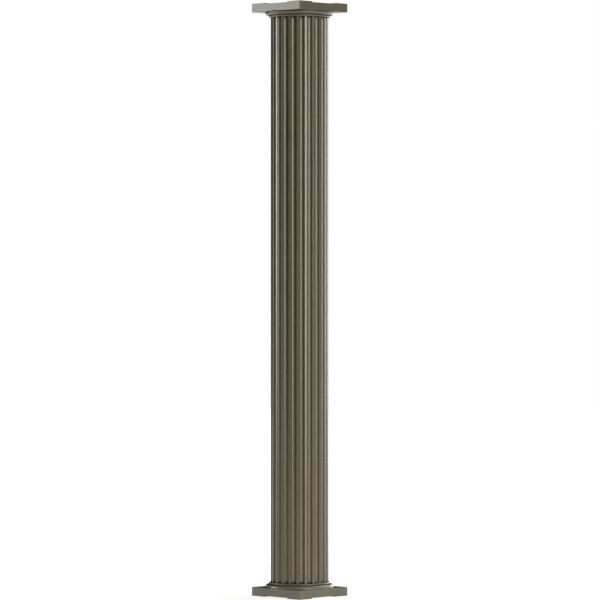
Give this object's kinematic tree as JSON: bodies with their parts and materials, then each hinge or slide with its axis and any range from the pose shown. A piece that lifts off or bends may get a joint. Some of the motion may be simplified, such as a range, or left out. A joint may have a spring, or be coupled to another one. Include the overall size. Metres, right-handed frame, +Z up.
{
  "type": "fluted aluminium porch column",
  "caption": "Round fluted column with straight sides, a square base and a matching square capital, in dark olive paint.",
  "frame": {"origin": "on the floor, at the foot of the column's axis", "axes": "+Z up along the shaft; X and Y square to the sides of the base and capital"},
  "size_m": [0.3492, 0.3492, 3.048],
  "materials": {
    "cast_paint": "semi-gloss olive-taupe paint on sand-cast aluminium",
    "shaft_paint": "semi-gloss olive-taupe paint on extruded aluminium"
  },
  "bodies": {
    "root": {"base": "cast_paint", "shaft": "shaft_paint", "capital": "cast_paint"}
  },
  "joints": []
}
